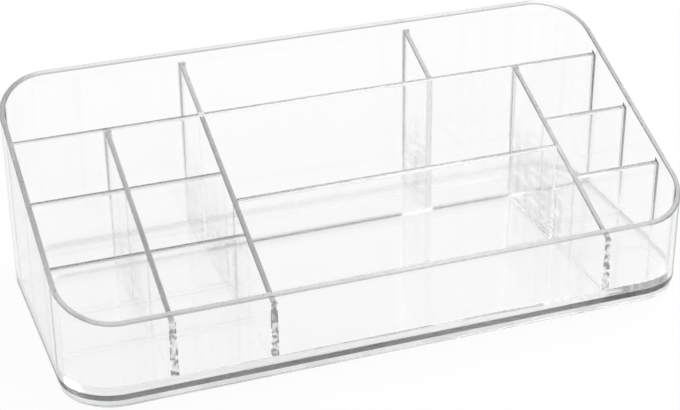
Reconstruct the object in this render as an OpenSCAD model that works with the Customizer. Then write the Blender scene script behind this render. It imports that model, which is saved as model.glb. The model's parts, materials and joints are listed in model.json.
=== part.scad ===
// Clear vanity organizer: a round-cornered wall that slopes from a tall back to a low front
// holds a floor panel and stands on a base plate and a foot ring. Upright panels on the floor
// part the inside into fourteen open bins.
// The origin is at the middle of the footprint, on the surface that the organizer stands on.

/* [Wall] */
// Outer length, left to right
body_l = 305; // [260:1:360]
// Outer depth, front to back
body_d = 143; // [130:1:180]
// Height of the rim along the back
back_h = 102; // [85:1:130]
// Height of the rim along the front
front_h = 42; // [30:1:60]
// Outer radius of the four upright corners
corner_r = 26; // [12:1:32]
// Thickness of the outer wall
wall_t = 2.5; // [2:0.1:4]
// Thickness of the floor panel inside the wall
floor_t = 3; // [2:0.5:5]

/* [Base] */
// Thickness of the base plate that the wall and the floor panel stand on
plate_t = 3; // [2:0.5:5]
// Height of the foot ring under the plate
foot_h = 4; // [2:0.5:8]
// Width of the foot ring
foot_w = 3; // [2:0.5:6]
// How far the foot ring is set in from the edge of the plate
foot_inset = 1; // [0:0.25:3]

/* [Dividers] */
// Thickness of every divider panel
divider_t = 2.5; // [1.5:0.1:4]
// How far the divider tops lie below the plane of the rim, measured upright
divider_drop = 5; // [2:0.5:9]
// Cement gap at each bonded end of a divider and round the floor panel
bond_gap = 0.1; // [0.05:0.05:0.3]

/* [Bins] */
// Clear depth of the row of long bins along the back
rear_row_d = 31; // [26:0.5:38]
// Clear width of the middle bin in the row along the back
rear_middle_w = 115.5; // [95:0.5:140]
// Clear width of the column of cells at the right
right_column_w = 43.5; // [30:0.5:55]
// Clear depth of the cells along the front
front_cell_d = 34.5; // [26:0.5:38]
// Clear depth of the wide tray at the front
front_tray_d = 53.5; // [40:0.5:62]

/* [Hidden] */

$fn = 96;
// How far every cut runs past what it cuts
overrun = 2;

// Clear plastic, a little darker on edge for the base
clear = [0.90, 0.94, 0.96, 0.45];
clear_panel = [0.80, 0.88, 0.92, 0.55];
clear_base = [0.70, 0.78, 0.82, 0.70];

// Inside of the wall
in_x = body_l / 2 - wall_t;
in_y = body_d / 2 - wall_t;
in_r = corner_r - wall_t;
base_z = foot_h + plate_t;
floor_z = base_z + floor_t;
rim_rise_share = (back_h - front_h) / body_d;

// Centre lines of the panels that run left to right
cross_y = in_y - rear_row_d - divider_t / 2;
front_row_y = divider_t / 2 + front_cell_d - in_y;
middle_row_y = (cross_y + front_row_y) / 2;
tray_y = divider_t / 2 + front_tray_d - in_y;

// Centre lines of the panels that run front to back
rear_x = (rear_middle_w + divider_t) / 2;
block_x = -rear_x;
column_x = in_x - right_column_w - divider_t / 2;
left_x = (block_x - divider_t / 2 - in_x) / 2;

// Height of the rim's plane above the ground at a place y
function rim_z(y) = front_h + rim_rise_share * (y + body_d / 2);

// Block with upright round corners, centred on the origin, from height z up
module round_block(l, d, r, z, h) {
    translate([0, 0, z]) {
        translate([-l / 2 + r, -d / 2, 0]) cube([l - 2 * r, d, h]);
        translate([-l / 2, -d / 2 + r, 0]) cube([l, d - 2 * r, h]);
        for (sx = [-1, 1], sy = [-1, 1])
            translate([sx * (l / 2 - r), sy * (d / 2 - r), 0]) cylinder(r = r, h = h);
    }
}

// Everything under the rim's plane once that plane is lowered by drop
module under_rim(drop) {
    y_front = -body_d / 2 - overrun;
    y_back = body_d / 2 + overrun;
    translate([-body_l / 2 - overrun, 0, 0]) rotate([90, 0, 90])
        linear_extrude(height = body_l + 2 * overrun)
            polygon([[y_front, -overrun], [y_back, -overrun],
                     [y_back, rim_z(y_back) - drop], [y_front, rim_z(y_front) - drop]]);
}

// Panel between two faces that it is bonded to, standing on the floor, with a sloped top
module panel(x0, x1, y0, y1) {
    color(clear_panel) intersection() {
        translate([x0, y0, floor_z]) cube([x1 - x0, y1 - y0, back_h]);
        under_rim(divider_drop);
    }
}

// Panel that runs left to right on the centre line y, between the faces at x0 and x1
module row_panel(y, x0, x1) {
    panel(x0 + bond_gap, x1 - bond_gap, y - divider_t / 2, y + divider_t / 2);
}

// Panel that runs front to back on the centre line x, between the faces at y0 and y1
module depth_panel(x, y0, y1) {
    panel(x - divider_t / 2, x + divider_t / 2, y0 + bond_gap, y1 - bond_gap);
}

// Outer wall: one band round the bins, open below and above
module wall() {
    color(clear) intersection() {
        difference() {
            round_block(body_l, body_d, corner_r, base_z, back_h);
            round_block(2 * in_x, 2 * in_y, in_r, base_z - overrun, back_h + 2 * overrun);
        }
        under_rim(0);
    }
}

// Floor of the bins, inside the wall
module floor_panel() {
    color(clear_panel) round_block(2 * (in_x - bond_gap), 2 * (in_y - bond_gap),
                                   in_r - bond_gap, base_z, floor_t);
}

// Plate under the wall and the floor panel, flush with the outside of the wall
module base_plate() {
    color(clear_base) round_block(body_l, body_d, corner_r, foot_h, plate_t);
}

// Ring that the plate stands on
module foot_ring() {
    outer_r = corner_r - foot_inset;
    color(clear_base) difference() {
        round_block(body_l - 2 * foot_inset, body_d - 2 * foot_inset, outer_r, 0, foot_h);
        round_block(body_l - 2 * (foot_inset + foot_w), body_d - 2 * (foot_inset + foot_w),
                    outer_r - foot_w, -overrun, foot_h + 2 * overrun);
    }
}

// Long divider in front of the row of rear bins, from wall to wall
module cross_divider() {
    row_panel(cross_y, -in_x, in_x);
}

// Dividers of the rear row, between the long divider and the back wall
module rear_divider(x) {
    depth_panel(x, cross_y + divider_t / 2, in_y);
}
module rear_divider_left() { rear_divider(-rear_x); }
module rear_divider_right() { rear_divider(rear_x); }

// Dividers from the long divider to the front wall
module front_divider(x) {
    depth_panel(x, -in_y, cross_y - divider_t / 2);
}
module left_block_divider() { front_divider(left_x); }
module middle_divider_left() { front_divider(block_x); }
module middle_divider_right() { front_divider(column_x); }

// Divider between the two wide bins in the middle
module tray_divider() {
    row_panel(tray_y, block_x + divider_t / 2, column_x - divider_t / 2);
}

// Short dividers between the cells: the outer and inner column at the left, the column at the right
module cell_divider_left(y) { row_panel(y, -in_x, left_x - divider_t / 2); }
module cell_divider_inner(y) { row_panel(y, left_x + divider_t / 2, block_x - divider_t / 2); }
module cell_divider_right(y) { row_panel(y, column_x + divider_t / 2, in_x); }

wall();
floor_panel();
base_plate();
foot_ring();
cross_divider();
rear_divider_left();
rear_divider_right();
left_block_divider();
middle_divider_left();
middle_divider_right();
tray_divider();
cell_divider_left(middle_row_y);  // cell_divider_left_rear
cell_divider_left(front_row_y);  // cell_divider_left_front
cell_divider_inner(middle_row_y);  // cell_divider_inner_rear
cell_divider_inner(front_row_y);  // cell_divider_inner_front
cell_divider_right(middle_row_y);  // cell_divider_right_rear
cell_divider_right(front_row_y);  // cell_divider_right_front
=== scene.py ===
# %% [markdown]
# # A clear vanity organizer
#
# The object is a see-through box for the countertop, glued together from clear plastic: a band of
# wall with round corners, a floor inside it, a thick base plate with a foot ring under it, and
# thirteen upright panels that part the inside into bins. The CAD model says where every piece is.
# Here each piece is made again with what the CAD leaves out, the small fillets of cement and the
# softened edges, because on clear plastic those are nearly all that the eye can see.

# %% Load the CAD frame
import json
import math
from collections import namedtuple
from contextlib import contextmanager

import bmesh
import bpy
from mathutils import Matrix, Vector

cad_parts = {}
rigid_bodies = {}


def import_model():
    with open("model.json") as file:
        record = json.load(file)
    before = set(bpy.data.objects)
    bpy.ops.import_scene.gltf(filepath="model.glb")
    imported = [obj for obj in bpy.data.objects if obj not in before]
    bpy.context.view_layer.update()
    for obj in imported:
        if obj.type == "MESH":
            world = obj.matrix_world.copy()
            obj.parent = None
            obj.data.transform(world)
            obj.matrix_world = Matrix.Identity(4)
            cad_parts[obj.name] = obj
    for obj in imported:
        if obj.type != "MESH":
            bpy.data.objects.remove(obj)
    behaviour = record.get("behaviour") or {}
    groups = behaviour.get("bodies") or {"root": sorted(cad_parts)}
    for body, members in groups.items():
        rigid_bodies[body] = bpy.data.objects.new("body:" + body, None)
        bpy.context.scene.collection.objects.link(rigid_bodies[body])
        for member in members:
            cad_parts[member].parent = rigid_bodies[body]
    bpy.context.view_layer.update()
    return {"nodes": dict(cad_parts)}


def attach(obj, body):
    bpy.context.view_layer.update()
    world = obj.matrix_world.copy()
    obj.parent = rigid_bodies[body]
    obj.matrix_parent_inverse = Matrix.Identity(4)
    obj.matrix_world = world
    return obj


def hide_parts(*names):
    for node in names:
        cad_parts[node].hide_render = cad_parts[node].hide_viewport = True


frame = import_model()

# %% [markdown]
# ## Sizes
#
# The CAD model is written in millimetres, so its sizes are repeated here in millimetres, and become
# Blender's metres when a mesh is made. Everything else is worked out from these few numbers, as in
# the part's own source, so that no piece can drift away from the one that it stands for.

# %% Named sizes and the lines that follow from them
MM = 0.001
BODY_L, BODY_D, BACK_H, FRONT_H = 305.0, 143.0, 102.0, 42.0
CORNER_R, WALL_T, DIVIDER_T = 26.0, 2.5, 2.5
FOOT_H, FOOT_W, FOOT_INSET, PLATE_T, FLOOR_T = 4.0, 3.0, 1.0, 3.0, 3.0
DIVIDER_DROP = 5.0
REAR_ROW_D, REAR_MIDDLE_W, RIGHT_COLUMN_W = 31.0, 115.5, 43.5
FRONT_CELL_D, FRONT_TRAY_D = 34.5, 53.5

IN_X, IN_Y, IN_R = BODY_L / 2 - WALL_T, BODY_D / 2 - WALL_T, CORNER_R - WALL_T
BASE_Z = FOOT_H + PLATE_T
FLOOR_Z = BASE_Z + FLOOR_T
RIM_RISE = (BACK_H - FRONT_H) / BODY_D
HALF_T = DIVIDER_T / 2
CROSS_Y = IN_Y - REAR_ROW_D - HALF_T
FRONT_ROW_Y = HALF_T + FRONT_CELL_D - IN_Y
MIDDLE_ROW_Y = (CROSS_Y + FRONT_ROW_Y) / 2
TRAY_Y = HALF_T + FRONT_TRAY_D - IN_Y
REAR_X = (REAR_MIDDLE_W + DIVIDER_T) / 2
BLOCK_X = -REAR_X
COLUMN_X = IN_X - RIGHT_COLUMN_W - HALF_T
LEFT_X = (BLOCK_X - HALF_T - IN_X) / 2


def rim_height(y):
    """Height of the wall's sloped rim at the depth y, in millimetres."""
    return FRONT_H + RIM_RISE * (y + BODY_D / 2)


print(f"floor at {FLOOR_Z} mm, rim from {rim_height(-BODY_D / 2)} to {rim_height(BODY_D / 2)} mm")

# %% [markdown]
# ## One helper for every solid made one by one
#
# The wall, the floor, the base plate and the foot ring all follow the same round-cornered line.
# Such a piece could be a bevelled cube or a curve with a profile. Rings of points joined by quads
# give more say over the profile, which here changes along the way as the rim climbs to the back,
# so one helper joins rings of points and closes the result.

# %% Points, rings and closed meshes
CORNER_STEPS = 64
SAME_POINT = 1e-7  # metres; points nearer than this are one


@contextmanager
def editing(mesh):
    """The mesh opened for bmesh operations, and written back at the end."""
    work = bmesh.new()
    work.from_mesh(mesh)
    yield work
    work.to_mesh(mesh)
    work.free()


def mesh_object(name, points_mm, faces):
    """A closed mesh with its faces turned outwards, from points in millimetres."""
    mesh = bpy.data.meshes.new(name)
    mesh.from_pydata([tuple(c * MM for c in p) for p in points_mm], [], faces)
    with editing(mesh) as work:
        bmesh.ops.remove_doubles(work, verts=work.verts, dist=SAME_POINT)
        bmesh.ops.recalc_face_normals(work, faces=work.faces)
    piece = bpy.data.objects.new(name, mesh)
    bpy.context.scene.collection.objects.link(piece)
    return piece


def corner_line(length, depth, radius):
    """The round-cornered line, once round: x, y and the outward direction at each point."""
    line = []
    for side_x, side_y, start in ((1, 1, 0), (-1, 1, 90), (-1, -1, 180), (1, -1, 270)):
        middle_x, middle_y = side_x * (length / 2 - radius), side_y * (depth / 2 - radius)
        for step in range(CORNER_STEPS + 1):
            turn = math.radians(start + 90 * step / CORNER_STEPS)
            out_x, out_y = math.cos(turn), math.sin(turn)
            line.append((middle_x + radius * out_x, middle_y + radius * out_y, out_x, out_y))
    return line


def joined(rings, ends_closed):
    """Quads between neighbouring rings; the last ring joins the first unless the ends are closed."""
    count, size = len(rings), len(rings[0])
    faces = [(a * size + j, a * size + (j + 1) % size, b * size + (j + 1) % size, b * size + j)
             for a in range(count - 1 if ends_closed else count)
             for b in [(a + 1) % count] for j in range(size)]
    if ends_closed:
        faces.append(tuple(range(size))[::-1])
        faces.append(tuple((count - 1) * size + j for j in range(size)))
    return [p for ring in rings for p in ring], faces


def rounding(radius, steps):
    """Quarter round: pairs of how far it has come in and how far it has come up."""
    turns = [math.pi / 2 * step / steps for step in range(steps + 1)]
    return [(radius - radius * math.cos(t), radius * math.sin(t)) for t in turns]


print("points on one round-cornered line:", len(corner_line(BODY_L, BODY_D, CORNER_R)))

# %% [markdown]
# ## The wall
#
# On the real organizer the wall is one band of clear plastic whose rim falls from the tall back to
# the low front. Its rim has been polished, so its two edges are soft, and where it meets the floor
# inside there is a fine fillet. A solidified strip could give the band, but not the fillet, so the
# profile is written out: up the outside, over the rim, down the inside and out into the fillet.

# %% The wall as a band of changing profile
RIM_ROUND, RIM_STEPS = 0.5, 4
FILLET_R, FILLET_STEPS = 0.5, 6
SEAM_GAP = 0.05  # left open above and below the base plate, so that no two pieces share a face


def wall_profile(y, out_y):
    """Pairs of inset from the outer face and height, for the wall at one place of its line."""
    def top(inset):
        return rim_height(y - out_y * inset)

    edge = rounding(RIM_ROUND, RIM_STEPS)
    outer = [(q, top(q) - RIM_ROUND + up) for q, up in edge]
    inner = [(WALL_T - q, top(WALL_T - q) - RIM_ROUND + up) for q, up in edge]
    # the fillet is the same quarter round, turned over and hollow
    root = [(WALL_T + (FILLET_R - flare), FLOOR_Z + up)
            for up, flare in reversed(rounding(FILLET_R, FILLET_STEPS))]
    foot = BASE_Z + SEAM_GAP
    return [(0, foot)] + outer + inner[::-1] + root + [(WALL_T + FILLET_R, foot)]


wall_rings = [[(x - nx * q, y - ny * q, z) for q, z in wall_profile(y, ny)]
              for x, y, nx, ny in corner_line(BODY_L, BODY_D, CORNER_R)]
fused = mesh_object("fused", *joined(wall_rings, ends_closed=False))
print("wall faces:", len(fused.data.polygons))

# %% [markdown]
# ## Floor, base plate and foot ring
#
# The floor sits inside the wall. The wall and the floor stand on a base plate as wide as the wall,
# and that rests on a foot ring. In the photograph the edge of the base plate is the dark band all
# round the foot, and the ring is the pale band under it. Both have their sharp edges taken off.
# Bevelled cubes would do, but lofted along the wall's own line their corners match its corners
# exactly. The floor is made a little too large, so that it bites into the wall when the two are
# fused further on.

# %% Floor, base plate and foot ring as lofted slabs
EDGE_ROUND, EDGE_STEPS = 0.4, 3
FLOOR_BITE = 0.5


def slab(name, length, depth, radius, low, high, soften=EDGE_ROUND):
    """Round-cornered slab from the height low to the height high."""
    line = corner_line(length, depth, radius)
    edge = rounding(soften, EDGE_STEPS) if soften else [(0, 0)]
    upper = [(q, high - soften + up) for q, up in edge]
    lower = [(q, low + high - z) for q, z in reversed(upper)]
    rings = [[(x - nx * q, y - ny * q, z) for x, y, nx, ny in line] for q, z in lower + upper]
    return mesh_object(name, *joined(rings, ends_closed=True))


floor_core = slab("floor_core", 2 * (IN_X + FLOOR_BITE), 2 * (IN_Y + FLOOR_BITE),
                  IN_R + FLOOR_BITE, BASE_Z + SEAM_GAP, FLOOR_Z, soften=0)
base_plate = slab("base_plate_clear", BODY_L, BODY_D, CORNER_R, FOOT_H, BASE_Z)

ring_top = FOOT_H - SEAM_GAP
ring_edge = rounding(EDGE_ROUND, EDGE_STEPS)
ring_profile = [(0, ring_top), (FOOT_W, ring_top)]
ring_profile += [(FOOT_W - EDGE_ROUND + up, q) for q, up in reversed(ring_edge)]
ring_profile += [(EDGE_ROUND - up, q) for q, up in ring_edge]
ring_line = corner_line(BODY_L - 2 * FOOT_INSET, BODY_D - 2 * FOOT_INSET, CORNER_R - FOOT_INSET)
foot_rings = [[(x - nx * q, y - ny * q, z) for q, z in ring_profile] for x, y, nx, ny in ring_line]
foot_ring = mesh_object("foot_ring_clear", *joined(foot_rings, ends_closed=False))
print("faces:", {o.name: len(o.data.polygons) for o in (floor_core, base_plate, foot_ring)})

# %% [markdown]
# ## The rule for a divider
#
# Thirteen panels differ only in where they run, so they come from one Geometry Nodes tree. It takes
# a cylinder with as many sides as the panel's profile has points and moves every point to where the
# rule puts it, worked out from the point's number: which ring it is in says how far along the panel
# it lies, and its place in the ring says how far up the profile. The profile flares at the root and
# at both ends, as the cement does in the corner of a real joint, and the top follows the rim's
# slope with softened edges.

# %% Two small helpers that write nodes as plain calls
def linked_node(tree, kind, given, **settings):
    """A node with its settings, and with its inputs linked or set by name."""
    node = tree.nodes.new(kind)
    for name, value in settings.items():
        setattr(node, name, value)
    for name, value in given.items():
        if isinstance(value, bpy.types.NodeSocket):
            tree.links.new(value, node.inputs[name])
        else:
            node.inputs[name].default_value = value
    return node


class NodeMaths:
    """Adds Math nodes to a tree: m.add(a, b) makes an Add node and gives back its output."""

    KINDS = {"add": "ADD", "sub": "SUBTRACT", "mul": "MULTIPLY", "div": "DIVIDE",
             "min": "MINIMUM", "max": "MAXIMUM", "less": "LESS_THAN", "more": "GREATER_THAN",
             "abs": "ABSOLUTE", "floor": "FLOOR", "sqrt": "SQRT", "sin": "SINE", "cos": "COSINE"}

    def __init__(self, tree):
        self.tree = tree

    def __getattr__(self, kind):
        def node(*values):
            return linked_node(self.tree, "ShaderNodeMath", dict(enumerate(values)),
                               operation=self.KINDS[kind]).outputs[0]
        return node

    def pick(self, choice, if_one, if_zero):
        """if_one where choice is 1, if_zero where it is 0."""
        return self.add(if_zero, self.mul(choice, self.sub(if_one, if_zero)))

    def quarter_turn(self, number, first, steps):
        """Angle that goes from 0 to a right angle while number goes on from first by steps."""
        share = self.div(self.sub(number, first), steps)
        return self.mul(self.min(self.max(share, 0.0), 1.0), math.pi / 2)


print("maths by name:", *NodeMaths.KINDS)

# %% [markdown]
# ### The divider tree
#
# The tree's inputs are the numbers that a maker would give: from where to where, on which line,
# along which side, how thick, how high. The mirrored halves of a ring share one rule, with a sign.
# The tree ends in Realize Instances and Set Material, so that what comes out is a plain mesh.

# %% Build the divider tree
END_STEPS, ROOT_STEPS, TOP_STEPS = 6, 6, 3
SIDE_POINTS = 1 + (ROOT_STEPS + 1) + (TOP_STEPS + 1)
RING_POINTS, RING_COUNT = 2 * SIDE_POINTS, 2 * (END_STEPS + 2)


def divider_tree():
    tree = bpy.data.node_groups.new("divider_panel", "GeometryNodeTree")
    tree.interface.new_socket("Geometry", in_out="OUTPUT", socket_type="NodeSocketGeometry")
    for name in ("Start", "End", "Line", "Along X", "Thickness", "Floor Height", "Front Top",
                 "Slope", "Depth Start", "Top Round", "Root Fillet", "Start Fillet",
                 "End Fillet", "Start Flare", "End Flare", "Root Sink", "Start Sink",
                 "End Sink"):
        tree.interface.new_socket(name, in_out="INPUT", socket_type="NodeSocketFloat")
    tree.interface.new_socket("Material", in_out="INPUT", socket_type="NodeSocketMaterial")
    given = tree.nodes.new("NodeGroupInput").outputs
    m = NodeMaths(tree)

    # numbers of points and rings are compared half-way between two whole ones, so that no
    # rounding can put a point in the wrong place
    tube = linked_node(tree, "GeometryNodeMeshCylinder",
                       {"Vertices": RING_POINTS, "Side Segments": RING_COUNT - 1},
                       fill_type="NGON")
    index = tree.nodes.new("GeometryNodeInputIndex").outputs[0]
    ring = m.floor(m.div(m.add(index, 0.25), RING_POINTS))
    place = m.sub(index, m.mul(ring, RING_POINTS))

    # along the panel: which end, how far from it, and how much the end's fillet flares there
    far_half = m.more(ring, RING_COUNT / 2 - 0.5)
    from_end = m.min(ring, m.sub(RING_COUNT - 1, ring))
    end_turn = m.quarter_turn(from_end, 1, END_STEPS)
    sunk_ring = m.less(from_end, 0.5)
    end_fillet = m.pick(far_half, given["End Fillet"], given["Start Fillet"])
    end_sink = m.pick(far_half, given["End Sink"], given["Start Sink"])
    reach = m.mul(end_fillet, m.sub(1.0, m.cos(end_turn)))
    reach = m.sub(reach, m.mul(sunk_ring, end_sink))
    along = m.pick(far_half, m.sub(given["End"], reach), m.add(given["Start"], reach))
    end_flare = m.mul(end_fillet, m.sub(1.0, m.sin(end_turn)))

    # up the profile: the root's fillet, then the rounded top edge
    other_side = m.more(place, SIDE_POINTS - 0.5)
    up_side = m.min(place, m.sub(RING_POINTS - 1, place))
    root_turn = m.quarter_turn(up_side, 1, ROOT_STEPS)
    sunk_point = m.less(up_side, 0.5)
    is_top = m.more(up_side, ROOT_STEPS + 1.5)
    top_turn = m.quarter_turn(up_side, ROOT_STEPS + 2, TOP_STEPS)
    root_up = m.mul(given["Root Fillet"], m.sub(1.0, m.cos(root_turn)))
    root_up = m.sub(root_up, m.mul(sunk_point, given["Root Sink"]))
    root_flare = m.mul(given["Root Fillet"], m.sub(1.0, m.sin(root_turn)))
    low_flare = m.mul(end_flare, m.pick(far_half, given["End Flare"], given["Start Flare"]))
    flare = m.sqrt(m.add(m.mul(low_flare, low_flare), m.mul(root_flare, root_flare)))
    top_in = m.mul(given["Top Round"], m.sub(m.cos(top_turn), 1.0))
    top_up = m.mul(given["Top Round"], m.sub(m.sin(top_turn), 1.0))
    half = m.mul(given["Thickness"], 0.5)
    offset = m.add(half, m.pick(is_top, m.add(end_flare, top_in), flare))
    offset = m.mul(offset, m.pick(other_side, -1.0, 1.0))

    # along X the panel runs left to right, otherwise front to back
    across = m.add(given["Line"], offset)
    x = m.pick(given["Along X"], along, across)
    y = m.pick(given["Along X"], across, along)
    top = m.add(given["Front Top"], m.mul(given["Slope"], m.sub(y, given["Depth Start"])))
    top = m.add(m.add(top, top_up), end_flare)
    z = m.pick(is_top, top, m.add(given["Floor Height"], root_up))

    point = linked_node(tree, "ShaderNodeCombineXYZ", {"X": x, "Y": y, "Z": z})
    move = linked_node(tree, "GeometryNodeSetPosition", {"Geometry": tube.outputs["Mesh"],
                                                         "Position": point.outputs[0]})
    weld = linked_node(tree, "GeometryNodeMergeByDistance", {"Geometry": move.outputs[0],
                                                             "Distance": SAME_POINT})
    plain = linked_node(tree, "GeometryNodeRealizeInstances", {"Geometry": weld.outputs[0]})
    dress = linked_node(tree, "GeometryNodeSetMaterial", {"Geometry": plain.outputs[0],
                                                          "Material": given["Material"]})
    tree.links.new(dress.outputs[0], tree.nodes.new("NodeGroupOutput").inputs[0])
    return tree


DIVIDER_TREE = divider_tree()
print("divider tree:", len(DIVIDER_TREE.nodes), "nodes,", RING_COUNT, "rings of", RING_POINTS)

# %% [markdown]
# ## The thirteen dividers
#
# Long divider first, then the panels that butt against it, then the short ones between those: that
# is also the order in which the real organizer is glued. Each row of the list is one panel: along
# which side it runs, the line that it stands on, the two faces that it meets, and how it is joined
# at its root and at both ends. A bonded edge draws a line in clear plastic and an open one nearly
# none, so the photograph shows which joints took up cement. Some of those lines stop part of the
# way down, where the cement has run out. So a joint says how far down it is toned, and how large
# its fillet is at the foot, as a share of the fillet above.

# %% Where each divider stands and how it is joined
AIR_GAP = 0.06
TOP_ROUND = 0.5
SINK = 1.0  # how far a bonded edge reaches into its neighbour, for the two to be fused
EVEN = -1.0  # a tone below 0 is even, a tone above 0 comes in beads
ALL_THE_WAY = 200.0
Joint = namedtuple("Joint", "bonded fillet share_at_foot tone toned_down")
JOINTS = {kind: Joint(*values) for kind, values in {
    "open": (False, 0.0, 1.0, 0.0, 0.0),
    "clean": (True, 0.3, 1.0, 0.0, 0.0),
    "line": (True, 0.7, 1.0, EVEN * 0.97, ALL_THE_WAY),
    "faint": (True, 0.3, 1.0, EVEN * 0.45, ALL_THE_WAY),
    "seam": (True, 0.9, 1.0, EVEN * 0.55, ALL_THE_WAY),
    "short": (True, 0.9, 0.1, EVEN * 0.6, 34.0),
    "thinning": (True, 0.9, 0.1, EVEN * 0.6, 70.0),
    # bar and pale bar are open ends toned with painted shade, a panel end seen through the wall
    "bar": (False, 0.3, 2.2, 0.9, ALL_THE_WAY),
    "pale bar": (False, 0.3, 1.0, EVEN * 0.3, 75.0),
}.items()}
# the dark root line is left out here, a painted glint of light through the rear divider behind
BRIGHT_ROOT = (REAR_X - 15.0, REAR_X + 2.0)  # where the root's line is broken, left to right
WIDEST_FILLET = 1.2  # no fillet reaches this far from its panel
ROW, DEPTH = 1.0, 0.0
FRONT_OF_CROSS, BACK_OF_CROSS = CROSS_Y - HALF_T, CROSS_Y + HALF_T
DIVIDERS = [  # name, direction, line, start, end, joint at the root, at the start, at the end
    ("cross_divider", ROW, CROSS_Y, -IN_X, IN_X, "line", "clean", "short"),
    ("rear_divider_left", DEPTH, -REAR_X, BACK_OF_CROSS, IN_Y, "open", "clean", "thinning"),
    ("rear_divider_right", DEPTH, REAR_X, BACK_OF_CROSS, IN_Y, "open", "pale bar", "thinning"),
    ("left_block_divider", DEPTH, LEFT_X, -IN_Y, FRONT_OF_CROSS, "open", "bar", "short"),
    ("middle_divider_left", DEPTH, BLOCK_X, -IN_Y, FRONT_OF_CROSS, "open", "bar", "open"),
    ("middle_divider_right", DEPTH, COLUMN_X, -IN_Y, FRONT_OF_CROSS, "faint", "bar", "seam"),
    ("tray_divider", ROW, TRAY_Y, BLOCK_X + HALF_T, COLUMN_X - HALF_T, "open", "open", "clean"),
]
for column, left_face, right_face, joints in (
        ("left", -IN_X, LEFT_X - HALF_T, ("open", "open", "open")),
        ("inner", LEFT_X + HALF_T, BLOCK_X - HALF_T, ("open", "open", "open")),
        ("right", COLUMN_X + HALF_T, IN_X, ("open", "open", "short"))):
    for row, line in (("rear", MIDDLE_ROW_Y), ("front", FRONT_ROW_Y)):
        DIVIDERS.append((f"cell_divider_{column}_{row}", ROW, line, left_face, right_face,
                         *joints))
print("dividers:", len(DIVIDERS), "kinds of joint:", *JOINTS)

# %% [markdown]
# ### One panel after another
#
# Each row of the list goes into the tree as the inputs of a modifier, which are set by their
# identifiers, and what the modifier makes is kept as a plain mesh. A bonded edge reaches into its
# neighbour, for the two to be fused, and an open edge stops a hair short of it.

# %% Make the panels with the tree
def evaluated_copy(piece):
    """What the piece's modifiers make of it, as a plain mesh."""
    return bpy.data.meshes.new_from_object(piece.evaluated_get(
        bpy.context.evaluated_depsgraph_get()))


def panel_from_tree(name, along_x, line, start, end, foot, joints):
    """One panel as the tree makes it, sunk into the neighbours that it is bonded to."""
    piece = bpy.data.objects.new(name + "_core", bpy.data.meshes.new(name))
    bpy.context.scene.collection.objects.link(piece)
    modifier = piece.modifiers.new("panel", "NODES")
    modifier.node_group = DIVIDER_TREE
    root, first, last = joints
    lengths = {"Start": start, "End": end, "Line": line, "Thickness": DIVIDER_T,
               "Floor Height": foot, "Front Top": FRONT_H - DIVIDER_DROP,
               "Depth Start": -BODY_D / 2, "Top Round": TOP_ROUND}
    for edge, joint in (("Root", root), ("Start", first), ("End", last)):
        lengths |= {f"{edge} Fillet": joint.fillet, f"{edge} Sink": joint.bonded * SINK}
    sizes = {name: length * MM for name, length in lengths.items()}
    sizes |= {"Along X": along_x, "Slope": RIM_RISE, "Start Flare": first.share_at_foot,
              "End Flare": last.share_at_foot}
    for item in DIVIDER_TREE.interface.items_tree:
        if item.in_out == "INPUT" and item.name in sizes:
            modifier[item.identifier] = sizes[item.name]
    piece.data = evaluated_copy(piece)
    piece.modifiers.clear()
    return piece


panels = []
for name, along_x, line, start, end, *kinds in DIVIDERS:
    joints = [JOINTS[kind] for kind in kinds]
    foot, start, end = (face if joint.bonded else face + inward * AIR_GAP for face, inward, joint
                        in zip((FLOOR_Z, start, end), (1, 1, -1), joints))
    piece = panel_from_tree(name, along_x, line, start, end, foot, joints)
    panels.append((piece, along_x, line, start, end, foot, joints))
print("panels:", len(panels), "with", len(panels[0][0].data.polygons), "faces each")

# %% [markdown]
# ### Where a panel is grey
#
# Each face carries a number, its tone, that says how grey the edge or the joint is there. At a
# cement joint that is the joint's own dark line. On the tops it is painted shade: the panels that
# run front to back get it on both softened edges, and those that run left to right on their rear
# half only, which gives the single thin line of the photograph. The line at the root of the long
# divider breaks off where a rear divider stands behind it, a painted glint of the light that comes
# through it. The material could work all this out from the place of a point, but then every size
# would have to stand in it again, so the faces are split where a tone begins or ends, and marked.

# %% Split the panels and tone their faces
OUTER_MARK, TONE_AND_SHADE_MARK = "outer_face", "tone"
SIDEWAYS, UPWARDS = 0.12, 0.88  # upward part of a rounded edge's direction
# painted shade on the tops and rounded edges of the panels, and on the rounded edges of the rim
ROW_TOP_PAINTED_SHADE, ROW_EDGE_PAINTED_SHADE, DEPTH_EDGE_PAINTED_SHADE, RIM_PAINTED_SHADE = 0.6, 0.92, 0.7, 0.65


def mark_faces(piece, name, values):
    """Writes one number for each face into the face attribute called name."""
    mark = piece.data.attributes.get(name) or piece.data.attributes.new(name, "FLOAT", "FACE")
    mark.data.foreach_set("value", values)


def top_height(y):
    """Height of the dividers' tops at the depth y, in millimetres."""
    return rim_height(y) - DIVIDER_DROP


def split_faces(mesh, planes):
    """Cuts the faces of the mesh where they cross the planes, and parts nothing."""
    with editing(mesh) as work:
        for point, across in planes:
            bmesh.ops.bisect_plane(work, geom=work.verts[:] + work.edges[:] + work.faces[:],
                                   plane_co=Vector(point) * MM,
                                   plane_no=Vector(across).normalized())
        bmesh.ops.recalc_face_normals(work, faces=work.faces)


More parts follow.
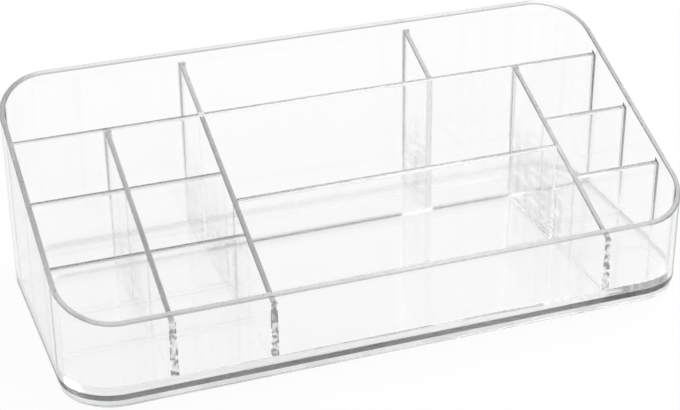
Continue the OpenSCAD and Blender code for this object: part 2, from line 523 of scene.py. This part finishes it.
def tone_and_shade_panel(piece, along_x, line, start, end, foot, joints):
    """Splits one panel where its marks change, and marks the dark joint lines and the painted shade.
    """
    root, first, last = joints
    splits = [((0, 0, top_height(0) - joint.toned_down), (0, -RIM_RISE, 1))
              for joint in (first, last) if 0 < joint.toned_down < ALL_THE_WAY]
    if along_x:
        splits += [((x, 0, 0), (1, 0, 0)) for x in (BLOCK_X, *BRIGHT_ROOT, COLUMN_X)]
    splits.append(((0, line if along_x else TRAY_Y, 0), (0, 1, 0)))
    mesh = piece.data
    split_faces(mesh, splits)
    tones_and_shades = []
    for face in mesh.polygons:
        where, facing = face.center / MM, face.normal
        along, depth = where.x if along_x else where.y, top_height(where.y) - where.z
        in_wide_bins = (BLOCK_X < where.x < COLUMN_X + HALF_T
                        and not BRIGHT_ROOT[0] < where.x < BRIGHT_ROOT[1])
        at_top = where.z > foot + WIDEST_FILLET
        rounded = at_top and SIDEWAYS < facing.z < UPWARDS
        # the tops get painted shade: row tops on their rear half, the others on both rounded edges
        if along_x:
            rear_half = at_top and where.y > line
            top_painted_shade = rear_half * (ROW_EDGE_PAINTED_SHADE * rounded or ROW_TOP_PAINTED_SHADE * (facing.z > UPWARDS))
        else:
            top_painted_shade = DEPTH_EDGE_PAINTED_SHADE * rounded
        at_root = where.z < foot + root.fillet and where.y > TRAY_Y and in_wide_bins
        at_start = along < start + first.fillet and depth < first.toned_down
        at_end = along > end - last.fillet and depth < last.toned_down
        tones_and_shades.append(max((root.tone * at_root, first.tone * at_start, last.tone * at_end,
                          EVEN * top_painted_shade), key=abs))
    mark_faces(piece, TONE_AND_SHADE_MARK, tones_and_shades)


for panel in panels:
    tone_and_shade_panel(*panel)
cores = [piece for piece, *_ in panels]
print("faces after the splits:", [len(core.data.polygons) for core in cores])

# %% [markdown]
# ## Bonded plastic is one piece of glass to the light
#
# Solvent cement melts clear plastic together, so light passes a good joint as if it wasn't there.
# Thirteen separate panels standing against a wall would show a mirror at every joint instead. The
# pieces are therefore first fused into one body, with their fillets, and that body is then cut
# apart again at the joints. The cuts are marked on the faces, and the material lets light straight
# through the marked faces. A Boolean keeps the marks of the tool that cuts.

# %% Fuse, then cut at the joints
CUT_GAP, CUT_SPARE = 0.03, 0.02  # how far a cut lies inside the joint, and what it leaves open
RIM_STARTS = 2 * BASE_Z  # well above the fillets at the floor, well below the lowest rim


def mark_all(piece, name, value):
    mark_faces(piece, name, [value] * len(piece.data.polygons))


def combined(piece, tool, operation):
    """The mesh of piece after a Boolean with tool."""
    modifier = piece.modifiers.new("combine", "BOOLEAN")
    modifier.operation, modifier.object, modifier.solver = operation, tool, "MANIFOLD"
    mesh = evaluated_copy(piece)
    piece.modifiers.remove(modifier)
    return mesh


def box_tool(low, high):
    """A cutting block with its faces marked as a joint."""
    corners = [(x, y, z) for z in (low[2], high[2]) for y in (low[1], high[1])
               for x in (low[0], high[0])]
    faces = [(0, 2, 3, 1), (4, 5, 7, 6), (0, 1, 5, 4), (2, 6, 7, 3), (0, 4, 6, 2), (1, 3, 7, 5)]
    tool = mesh_object("tool", corners, faces)
    mark_all(tool, OUTER_MARK, 0.0)
    return tool


mark_all(floor_core, TONE_AND_SHADE_MARK, 0.0)
# painted shade on the rounded edges of the wall's rim
mark_faces(fused, TONE_AND_SHADE_MARK, [
    EVEN * RIM_PAINTED_SHADE if SIDEWAYS < face.normal.z < UPWARDS and face.center.z > RIM_STARTS * MM
    else 0.0 for face in fused.data.polygons])
for core in [floor_core] + cores:
    fused.data = combined(fused, core, "UNION")
    bpy.data.objects.remove(core)
mark_all(fused, OUTER_MARK, 1.0)
print("fused body:", len(fused.data.polygons), "faces")

# %% [markdown]
# ### Cutting the body into its pieces
#
# Each divider takes a block as wide as its fillets and as long as the gap that it bridges, the short
# dividers first, since the long ones keep what is left. What the dividers leave is parted into the
# floor and the wall by a round-cornered block. Two hundredths of a millimetre stay open at every
# cut, so that no two pieces share a face. The base plate and the ring are never fused. Only the
# faces that look outwards on their edges get painted shade, which makes the two bands at the foot.

# %% One mesh for each piece of the real object
# painted shade on the outward edges of the base plate and the foot ring
BASE_EDGE_PAINTED_SHADE, FOOT_EDGE_PAINTED_SHADE = 0.93, 0.45
OUTWARDS = 0.3  # share of a face's direction that points away from the middle
ABOVE_ALL = 10.0
FLOOR_CUT_SPARE = 1.0


def cell_of(grow, along_x, line, start, end, root, *_):
    """Low and high corner of the block that one divider is cut out with."""
    half = HALF_T + WIDEST_FILLET
    ends = (start + CUT_GAP - grow, end - CUT_GAP + grow)
    sides = (line - half - CUT_GAP - grow, line + half + CUT_GAP + grow)
    foot = FLOOR_Z - grow + (-CUT_GAP if JOINTS[root].bonded else CUT_GAP)
    (x0, x1), (y0, y1) = (ends, sides) if along_x else (sides, ends)
    return (x0, y0, foot), (x1, y1, BACK_H + ABOVE_ALL)


pieces = {}


def cut_out(name, make_tool):
    """Makes the piece inside the tool, and takes it out of what is left of the fused body."""
    inside, outside = make_tool(0.0), make_tool(CUT_SPARE)
    pieces[name] = bpy.data.objects.new(name + "_clear", combined(fused, inside, "INTERSECT"))
    bpy.context.scene.collection.objects.link(pieces[name])
    fused.data = combined(fused, outside, "DIFFERENCE")
    for tool in (inside, outside):
        bpy.data.objects.remove(tool)


def floor_tool(grow):
    inset = 2 * (FILLET_R + CUT_GAP - grow)
    tool = slab("tool", 2 * IN_X - inset, 2 * IN_Y - inset, IN_R - inset / 2,
                BASE_Z - FLOOR_CUT_SPARE, FLOOR_Z + FLOOR_CUT_SPARE, soften=0)
    mark_all(tool, OUTER_MARK, 0.0)
    return tool


for name, *place in reversed(DIVIDERS):
    cut_out(name, lambda grow: box_tool(*cell_of(grow, *place)))
cut_out("floor_panel", floor_tool)
fused.name = "wall_clear"
pieces["wall"] = fused
pieces["base_plate"], pieces["foot_ring"] = base_plate, foot_ring
# painted shade on the outward edge faces of the base plate and the foot ring
for node, edge_painted_shade in (("base_plate", BASE_EDGE_PAINTED_SHADE), ("foot_ring", FOOT_EDGE_PAINTED_SHADE)):
    mark_faces(pieces[node], TONE_AND_SHADE_MARK, [
        edge_painted_shade * (face.normal.to_2d().dot(face.center.to_2d().normalized()) > OUTWARDS)
        for face in pieces[node].data.polygons])
print("pieces:", len(pieces), {n: len(p.data.polygons) for n, p in pieces.items()})

# %% [markdown]
# ## Smooth curves, crisp corners
#
# The cutting leaves a few points a thousandth of a millimetre apart, which would turn into slivers
# in a mesh file, so they are welded first and the many-cornered faces are split. Weighted normals
# keep the large faces flat and let the narrow strips of the rounds bend between them. On clear
# plastic this matters twice, because the same normals bend the light that passes through.

# %% Cleaning and shading
WELD = 0.001  # millimetres
MOST_CORNERS = 4  # of a face that isn't split
SHARP_ANGLE = math.radians(32)


def clean(mesh):
    """Welds near points and splits the large faces; gives how many edges are left open."""
    with editing(mesh) as work:
        bmesh.ops.remove_doubles(work, verts=work.verts, dist=WELD * MM)
        bmesh.ops.dissolve_degenerate(work, edges=work.edges, dist=WELD * MM)
        bmesh.ops.triangulate(work, faces=[face for face in work.faces
                                           if len(face.verts) > MOST_CORNERS])
        bmesh.ops.dissolve_degenerate(work, edges=work.edges, dist=WELD * MM)
        return sum(len(edge.link_faces) != 2 for edge in work.edges)


def shade(piece):
    mesh = piece.data
    mesh.shade_smooth()
    mesh.set_sharp_from_angle(angle=SHARP_ANGLE)
    weigh = piece.modifiers.new("weigh", "WEIGHTED_NORMAL")
    weigh.weight, weigh.keep_sharp = 100, True
    piece.data = evaluated_copy(piece)
    piece.modifiers.clear()


open_edges = sum(clean(piece.data) for piece in pieces.values())
for piece in pieces.values():
    shade(piece)
print("shaded", len(pieces), "pieces, open edges:", open_edges)

# %% [markdown]
# ## What a clear plastic surface shows
#
# A flat see-through colour wouldn't look like plastic. Sheet is never quite flat, so reflections
# waver. Handling leaves faint wiped marks that make the gloss uneven. The edges have been sawn and
# flame polished, so they are frosted and carry fine lines along the cut. Cement dries in lumps.
# Faint upright streaks with bright rungs on the panes are painted reflections and painted glints.
# Each of these five is a node group that the materials share.

# %% Helpers that fill a shader group
def parts_of(tree, vector):
    """The x, y and z of a vector."""
    return linked_node(tree, "ShaderNodeSeparateXYZ", {"Vector": vector}).outputs


def at_height(tree, parts, height):
    """The place with the x and y of parts and another height."""
    return linked_node(tree, "ShaderNodeCombineXYZ",
                       {"X": parts[0], "Y": parts[1], "Z": height}).outputs[0]


def noise(tree, place, scale, detail, **settings):
    """Value of a noise texture, with scale waves to the metre."""
    return linked_node(tree, "ShaderNodeTexNoise", {"Vector": place, "Scale": scale,
                                                    "Detail": detail, **settings}).outputs[0]


def ramp(tree, value, low, high, at_low=0.0, at_high=1.0):
    """Goes from at_low to at_high while value goes from low to high."""
    return linked_node(tree, "ShaderNodeMapRange",
                       {"Value": value, "From Min": low, "From Max": high,
                        "To Min": at_low, "To Max": at_high}).outputs[0]


def shader_group(name, sizes, *results):
    """An empty group that takes a position and some sizes; gives all that it is filled with."""
    tree = bpy.data.node_groups.new(name, "ShaderNodeTree")
    tree.interface.new_socket("Position", in_out="INPUT", socket_type="NodeSocketVector")
    for size, value in sizes.items():
        made = tree.interface.new_socket(size, in_out="INPUT", socket_type="NodeSocketFloat")
        made.default_value = value
    for result in results:
        tree.interface.new_socket(result, in_out="OUTPUT", socket_type="NodeSocketFloat")
    given = tree.nodes.new("NodeGroupInput").outputs
    return tree, NodeMaths(tree), given, given["Position"], parts_of(tree, given["Position"])


def deliver(tree, *values):
    """Links the values to the group's results, in their order."""
    out = tree.nodes.new("NodeGroupOutput")
    for value, socket in zip(values, out.inputs):
        tree.links.new(value, socket)
    return tree


# %% [markdown]
# ### Five effects
#
# Each effect is drawn in metres on the piece's own coordinates, so it stays with the plastic when
# the camera moves, and has its sizes as inputs. The lumps also break the painted shade of the open
# panel ends, the base plate and the foot ring into dark beads, whose clear gaps are painted
# sparkle, as in the front wall of the photograph.

# %% Shader node groups
# painted reflections: streaks low on the panes, and bright rungs in them as painted glints
GLINT_RUNG_FLATNESS, GLINT_RUNG_WIDTH = 4.0, 0.5
LEAST_REFLECTION_STREAK = 0.35
FULL_HEIGHT, FULL_DEPTH = 0.5, 0.3  # where the streaks are whole, as a share of where they end


def sheet_ripple():
    """Height of slow waves in the sheet, longer up and down than across."""
    tree, m, given, _, parts = shader_group(
        "sheet_ripple", {"Wave Size": 0.02, "Upright Stretch": 4.0}, "Height")
    bent = at_height(tree, parts, m.div(parts[2], given["Upright Stretch"]))
    waves = m.div(1.0, given["Wave Size"])
    return deliver(tree, noise(tree, bent, waves, detail=1.5, Roughness=0.4))


def wiped_marks():
    """Roughness that handling adds: broad smears with hair-thin scratches in them."""
    tree, m, given, place, _ = shader_group(
        "wiped_marks", {"Smear": 0.01, "Scratch": 0.03}, "Roughness")
    broad = noise(tree, place, scale=14.0, detail=3.0, Distortion=0.6)
    smear = ramp(tree, broad, low=0.5, high=0.75)
    cells = linked_node(tree, "ShaderNodeTexVoronoi",
                        {"Vector": place, "Scale": 55.0, "Randomness": 1.0},
                        feature="DISTANCE_TO_EDGE")
    hair = ramp(tree, cells.outputs["Distance"], low=0.0, high=0.006, at_low=1.0, at_high=0.0)
    scratch = m.mul(m.mul(hair, smear), given["Scratch"])
    return deliver(tree, m.add(m.mul(smear, given["Smear"]), scratch))


def sawn_edge():
    """1 on the sawn edges with their rounds, 1 on their flat part, and the lines along them."""
    tree, m, given, place, parts = shader_group(
        "sawn_edge", {"Above": 0.02}, "Mask", "Flat", "Lines")
    geometry = tree.nodes.new("ShaderNodeNewGeometry").outputs
    upward = m.abs(parts_of(tree, geometry["True Normal"])[2])
    high = m.more(parts[2], given["Above"])
    mask, flat = (m.mul(m.more(upward, limit), high) for limit in (SIDEWAYS, UPWARDS))
    return deliver(tree, mask, flat, noise(tree, place, scale=900.0, detail=2.0))


def lumps_and_sparkle_beads():
    """Height of uneven cement or cut edges; share of painted shade kept, its gaps painted sparkle.
    """
    tree, m, given, place, _ = shader_group(
        "lumps_and_sparkle_beads", {"Bead Size": 0.0022, "Unevenness": 1.0}, "Height", "Share")
    beads = m.div(1.0, given["Bead Size"])
    lumps_and_sparkle = noise(tree, place, beads, detail=2.0, Roughness=0.6)
    gaps = ramp(tree, lumps_and_sparkle, low=0.42, high=0.56)
    return deliver(tree, lumps_and_sparkle, m.sub(1.0, m.mul(gaps, given["Unevenness"])))


def pane_reflection_streaks():
    """Painted reflections: faint upright lines low on a pane, broken by bright painted glints."""
    tree, m, given, _, parts = shader_group(
        "pane_reflection_streaks", {"Streak Size": 0.005, "Upright Stretch": 25.0, "Fade Height": 0.06,
                         "Front Fade": -0.045}, "Tone")
    size, top, front = given["Streak Size"], given["Fade Height"], given["Front Fade"]
    drawn = at_height(tree, parts, m.div(parts[2], given["Upright Stretch"]))
    lines = noise(tree, drawn, m.div(1.0, size), detail=3.0, Roughness=0.65)
    pressed = at_height(tree, parts, m.mul(parts[2], GLINT_RUNG_FLATNESS))
    blots = noise(tree, pressed, m.div(GLINT_RUNG_WIDTH, size), detail=1.0)
    glint_rungs = ramp(tree, blots, low=0.54, high=0.58, at_low=1.0, at_high=0.0)
    tone = m.mul(m.add(ramp(tree, lines, low=0.42, high=0.62), LEAST_REFLECTION_STREAK), glint_rungs)
    low_down = ramp(tree, parts[2], top, m.mul(top, FULL_HEIGHT))
    rearward = ramp(tree, parts[1], front, m.mul(front, FULL_DEPTH))
    return deliver(tree, m.mul(tone, m.mul(low_down, rearward)))


GROUPS = {"ripple": sheet_ripple(), "marks": wiped_marks(), "edge": sawn_edge(),
          "lumps_and_sparkle": lumps_and_sparkle_beads(), "reflection_streaks": pane_reflection_streaks()}
print("shader groups:", sorted(g.name for g in GROUPS.values()))

# %% [markdown]
# ## Clear plastic that darkens with distance
#
# Cast sheet is colourless across its thickness and grey on edge, because the light has come a long
# way through it. That is what a volume is for: the surface bends and mirrors light as plastic with
# an index of 1.49 does, and Volume Absorption takes a share of it for every metre inside. The base
# plate is the darkest. The joints of the cut-up body are let through by Alpha, in the same
# material, since light that enters a volume by one material has to leave it by the same one.
#
# The tone of the faces is laid over that, as the tint of the light that passes the surface. It is
# the dark line of a cement joint, and elsewhere painted shade and painted reflections. On the base
# plate and the ring the painted shade works only where light comes in from outside, or the far edge
# of the plate would show through the bins as a grey band. The round corners of the wall get painted
# shade where they are seen edge-on, which draws the outline of the photograph.

# %% Clear plastic as a material
PLASTIC_IOR = 1.49
SHEET_WAVE = 0.03  # millimetres, like the depth of the lumps
TINT = (("Red", 1.0), ("Green", 0.998), ("Blue", 0.996))  # share of the tone in each colour
LINES_FROM, LINES_BY = 0.75, 0.5  # how the lines of a sawn edge change its frosting
BEADED_FROM = 0.01  # even tones are below 0
ROUND_CORNER = 0.02  # x times y of a direction that isn't along either axis
EDGE_ON = (0.75, 0.85)  # from where to where an outline darkens, 1 is seen along the surface


# painted shade where the round corners are seen edge-on, which draws the outline
def outline_painted_shade(tree, m, geometry, strength):
    """Painted shade on the round corners where they are seen edge-on."""
    facing = parts_of(tree, geometry["True Normal"])
    slant = m.abs(m.mul(facing[0], facing[1]))
    weight = linked_node(tree, "ShaderNodeLayerWeight", {"Blend": 0.5})
    edge_on = ramp(tree, weight.outputs["Facing"], *EDGE_ON)
    return m.mul(m.mul(m.more(slant, ROUND_CORNER), edge_on), strength)


def clear_plastic(name, absorbs=0.8, haze=0.0, frost=0.0, top_painted_shade=0.0, beaded_frost=0.0,
                  bead_size=0.01, unevenness=0.5, lump_depth=0.0, reflection_streaked=0.0, outline_shade=0.0,
                  jointed=True):
    """Clear plastic that loses the share absorbs of the light in each metre.

    haze, frost and beaded_frost are the roughness of polished, sawn and beaded faces. The top,
    streak and edge-on strengths are painted: painted shade on the flat sawn tops, painted
    reflections low on the panes, and painted shade on round corners seen edge-on.
    The beads of a tone have a size in metres, and unevenness is how far their gaps fade. A
    jointed piece has joints that let light through, and is toned from both sides.
    """
    material = bpy.data.materials.new(name)
    material.use_nodes = True
    tree = material.node_tree
    shader = tree.nodes["Principled BSDF"]
    for socket, value in (("Base Color", (1, 1, 1, 1)), ("IOR", PLASTIC_IOR),
                          ("Transmission Weight", 1.0), ("Metallic", 0.0)):
        shader.inputs[socket].default_value = value
    where = tree.nodes.new("ShaderNodeTexCoord").outputs["Object"]

    def group(key, **sizes):
        node = linked_node(tree, "ShaderNodeGroup", {}, node_tree=GROUPS[key])
        tree.links.new(where, node.inputs["Position"])
        for size, value in sizes.items():
            node.inputs[size.replace("_", " ")].default_value = value
        return node.outputs

    def face_number(name):
        return linked_node(tree, "ShaderNodeAttribute", {}, attribute_name=name).outputs["Fac"]

    m = NodeMaths(tree)
    geometry = tree.nodes.new("ShaderNodeNewGeometry").outputs
    edge, marks, ripple, reflection_streaks = (group(key) for key in ("edge", "marks", "ripple", "reflection_streaks"))
    lumps_and_sparkle = group("lumps_and_sparkle", Bead_Size=bead_size, Unevenness=unevenness)

    # the tone is the dark line of cement joints, with painted shade and painted reflections
    mark = face_number(TONE_AND_SHADE_MARK)
    # beaded: painted shade broken into beads, whose clear gaps stand for sparkle
    beaded = m.mul(m.max(mark, 0.0), lumps_and_sparkle["Share"])
    even = m.max(m.mul(mark, EVEN), m.mul(edge["Flat"], top_painted_shade))
    tone = m.max(beaded, m.max(even, m.mul(reflection_streaks["Tone"], reflection_streaked)))
    # base plate and foot ring: painted shade only where light comes in from outside
    if not jointed:
        tone = m.mul(tone, m.sub(1.0, geometry["Backfacing"]))
    if outline_shade:
        tone = m.max(tone, outline_painted_shade(tree, m, geometry, outline_shade))
    tint = linked_node(tree, "ShaderNodeCombineColor",
                       {part: m.sub(1.0, m.mul(tone, share)) for part, share in TINT})
    tree.links.new(tint.outputs[0], shader.inputs["Base Color"])

    is_beaded = m.more(mark, BEADED_FROM)
    frosting = m.mul(m.add(LINES_FROM, m.mul(edge["Lines"], LINES_BY)), frost)
    finish = m.pick(edge["Mask"], frosting, m.pick(is_beaded, beaded_frost, haze))
    tree.links.new(m.add(marks["Roughness"], finish), shader.inputs["Roughness"])
    lumpy = m.mul(m.mul(is_beaded, lumps_and_sparkle["Height"]), lump_depth / SHEET_WAVE)
    bump = linked_node(tree, "ShaderNodeBump", {"Height": m.add(ripple["Height"], lumpy),
                                                "Strength": 1.0, "Distance": SHEET_WAVE * MM})
    tree.links.new(bump.outputs[0], shader.inputs["Normal"])
    if jointed:
        tree.links.new(face_number(OUTER_MARK), shader.inputs["Alpha"])
    inside = linked_node(tree, "ShaderNodeVolumeAbsorption",
                         {"Color": (0, 0, 0, 1), "Density": absorbs})
    tree.links.new(inside.outputs[0], tree.nodes["Material Output"].inputs["Volume"])
    return material


# %% [markdown]
# ### Six finishes
#
# The wall is a little hazy and lightly frosted on its rim, with painted shade on its rim and on its
# round corners seen edge-on. The floor takes the least from the light, or the bins would look grey.
# The panels that run front to back carry the dark beads of painted shade and the painted reflection
# streaks. The base plate and the foot ring take the most, and have their painted shade on the
# outside only.

# %% The finishes of the pieces
MATERIALS = {name: clear_plastic(name, **finish) for name, finish in {
    "clear_wall": {"haze": 0.1, "frost": 0.3, "top_painted_shade": 0.15, "beaded_frost": 0.08,
                   "outline_shade": 0.98},
    "clear_floor": {"absorbs": 0.15},
    "clear_row": {"haze": 0.08, "frost": 0.2, "bead_size": 0.018, "unevenness": 0.2},
    "clear_depth": {"haze": 0.03, "frost": 0.3, "top_painted_shade": 0.5, "bead_size": 0.0022,
                    "unevenness": 1.0, "lump_depth": 0.3, "reflection_streaked": 0.22},
    "clear_base": {"absorbs": 1.0, "haze": 0.02, "beaded_frost": 0.15, "bead_size": 0.03,
                   "unevenness": 0.03, "jointed": False},
    "clear_foot": {"absorbs": 1.0, "beaded_frost": 0.1, "bead_size": 0.02, "unevenness": 0.3,
                   "lump_depth": 0.01, "jointed": False}}.items()}
print("materials:", sorted(MATERIALS))

# %% [markdown]
# ## Putting the pieces in place of the CAD solids
#
# Each piece stands for one node of the CAD model, rides on the same body and takes its finish from
# the table below, which also lists each node's slot. The object doesn't move, so there is a single
# body, called root.

# %% Dress the pieces and hand them to the frame
FINISHES = {"wall": ("clear_wall", "clear_wall"), "floor_panel": ("clear_wall", "clear_floor"),
            "base_plate": ("clear_base", "clear_base"), "foot_ring": ("clear_base", "clear_foot")}
FINISHES |= {name: ("clear_divider", "clear_row" if along_x else "clear_depth")
             for name, along_x, *_ in DIVIDERS}
for node, piece in pieces.items():
    slot, finish = FINISHES[node]
    piece.data.materials.clear()
    piece.data.materials.append(MATERIALS[finish])
    piece.data.polygons.foreach_set("material_index", [0] * len(piece.data.polygons))
    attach(piece, "root")
    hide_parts(node)
print("in place:", len(pieces), "of", len(frame["nodes"]), "nodes")

# %% [markdown]
# ## A white table
#
# The photograph shows the organizer cut out on white. A floor that only reflected light would turn
# grey under the box, so most of its brightness, as seen by the camera and through the plastic, is
# its own, and the rest is reflected light, which keeps the soft shadow at the foot.

# %% The floor
FLOOR_DROP = 0.3  # millimetres below the foot, so that the two share no plane
FLOOR_OWN_LIGHT = 0.95
FLOOR_HALF = 10000.0


def seen_rays(tree):
    """1 for rays from the camera and those that plastic has mirrored or let through."""
    m = NodeMaths(tree)
    path = tree.nodes.new("ShaderNodeLightPath").outputs
    clear = m.max(path["Is Glossy Ray"], path["Is Transmission Ray"])
    return m.max(path["Is Camera Ray"], clear)


table = mesh_object("table", [(x * FLOOR_HALF, y * FLOOR_HALF, -FLOOR_DROP)
                              for x, y in ((-1, -1), (1, -1), (1, 1), (-1, 1))], [(0, 1, 2, 3)])
white = bpy.data.materials.new("white_table")
white.use_nodes = True
tree = white.node_tree
tree.nodes.remove(tree.nodes["Principled BSDF"])
diffuse = linked_node(tree, "ShaderNodeBsdfDiffuse", {"Color": (0.9, 0.9, 0.9, 1)})
own_light = linked_node(tree, "ShaderNodeEmission", {"Strength": 1.0})
own_share = NodeMaths(tree).mul(seen_rays(tree), FLOOR_OWN_LIGHT)
mix = linked_node(tree, "ShaderNodeMixShader",
                  {0: own_share, 1: diffuse.outputs[0], 2: own_light.outputs[0]})
tree.links.new(mix.outputs[0], tree.nodes["Material Output"].inputs["Surface"])
table.data.materials.append(white)
print("table at", -FLOOR_DROP, "mm")

# %% [markdown]
# ## Light
#
# Clear plastic shows its surroundings more than its own colour, so the light is drawn on the world:
# white low down, as in a white studio, and darker overhead, which gives the upward faces and the
# rims their grey. Rays from the camera see plain white, as in the photograph.

# %% The world
SKY = [(-1.0, 1.0), (0.5, 1.0), (0.62, 0.6), (0.8, 0.45), (1.0, 0.45)]  # upwardness, brightness

world = bpy.data.worlds.new("studio")
bpy.context.scene.world = world
world.use_nodes = True
tree = world.node_tree
direction = parts_of(tree, tree.nodes.new("ShaderNodeTexCoord").outputs["Generated"])
sky = linked_node(tree, "ShaderNodeValToRGB", {"Fac": ramp(tree, direction[2], -1.0, 1.0)})
stops = sky.color_ramp.elements
while len(stops) < len(SKY):
    stops.new(0.5)
for stop, (level, value) in zip(stops, SKY):
    stop.position = (level + 1) / 2
    stop.color = (value, value, value, 1)
is_camera = tree.nodes.new("ShaderNodeLightPath").outputs["Is Camera Ray"]
MIX_FACTOR, MIX_A, MIX_B = 0, 6, 7  # the colour sockets of a Mix node
choose = linked_node(tree, "ShaderNodeMix",
                     {MIX_FACTOR: is_camera, MIX_A: sky.outputs[0], MIX_B: (1, 1, 1, 1)},
                     data_type="RGBA")
tree.links.new(choose.outputs[2], tree.nodes["Background"].inputs["Color"])
print("sky levels:", SKY)

# %% [markdown]
# ### A softbox overhead
#
# One broad softbox hangs to the right, above and a little behind the organizer. It gives the rims
# and the tops of the dividers their pale glint, and the table its soft shadow at the foot.

# %% The softbox
SOFTBOX_AT = (1.05, 0.40, 1.40)
SOFTBOX_SIZE = 1.3
SOFTBOX_LEVEL = 4.0

softbox = bpy.data.lights.new("softbox", "AREA")
softbox.shape, softbox.size = "SQUARE", SOFTBOX_SIZE
softbox.energy = SOFTBOX_LEVEL * math.pi * SOFTBOX_SIZE ** 2
hung = bpy.data.objects.new("softbox", softbox)
hung.location = SOFTBOX_AT
hung.rotation_euler = (-Vector(SOFTBOX_AT)).to_track_quat("-Z", "Y").to_euler()
bpy.context.scene.collection.objects.link(hung)
print("softbox:", round(softbox.energy, 1), "watts")

# %% [markdown]
# ## Camera
#
# The camera was fitted to the straight edges of the photograph: where it stands, its tilt and its
# focal length in pixels of a picture 680 wide. The fit was made on a box 300 mm long.

# %% The camera
PICTURE_W = 680
CAMERA_TURN, CAMERA_RISE, CAMERA_ROLL = 20.05, 27.70, -0.352
FOCAL_PIXELS, SENSOR_W = 1774.4, 36.0
FITTED_L = 300
LOOK_AT, LOOK_DISTANCE = (4.556, 18.916, 30.0), 859.97

turn, rise, roll = (math.radians(a) for a in (CAMERA_TURN, CAMERA_RISE, CAMERA_ROLL))
back = Vector((-math.sin(turn) * math.cos(rise), -math.cos(turn) * math.cos(rise),
               math.sin(rise)))
right = (-back).cross(Vector((0, 0, 1))).normalized()
up = right.cross(-back)
tilted_right = right * math.cos(roll) + up * math.sin(roll)
tilted_up = up * math.cos(roll) - right * math.sin(roll)
lens = bpy.data.cameras.new("photo_camera")
lens.sensor_fit, lens.sensor_width = "HORIZONTAL", SENSOR_W
lens.lens = FOCAL_PIXELS / PICTURE_W * SENSOR_W
lens.clip_start, lens.clip_end = 0.01, 100.0
camera = bpy.data.objects.new("photo_camera", lens)
bpy.context.scene.collection.objects.link(camera)
placed = Matrix((tilted_right, tilted_up, back)).transposed().to_4x4()
placed.translation = (Vector(LOOK_AT) + back * LOOK_DISTANCE) * (BODY_L / FITTED_L) * MM
camera.matrix_world = placed
bpy.context.scene.camera = camera
print("camera at", [round(c, 3) for c in placed.translation], "lens", round(lens.lens, 2))

# %% [markdown]
# ## Settings
#
# Clear plastic needs many bounces, since light goes back and forth inside every panel before it
# comes out again.

# %% Render settings that clear plastic needs
scene = bpy.context.scene
scene.view_settings.view_transform = "Standard"
cycles = scene.cycles
cycles.max_bounces = cycles.transmission_bounces = cycles.glossy_bounces = 96
cycles.transparent_max_bounces = 64
cycles.caustics_refractive = cycles.caustics_reflective = True
cycles.use_denoising = True
print("bounces:", cycles.max_bounces)
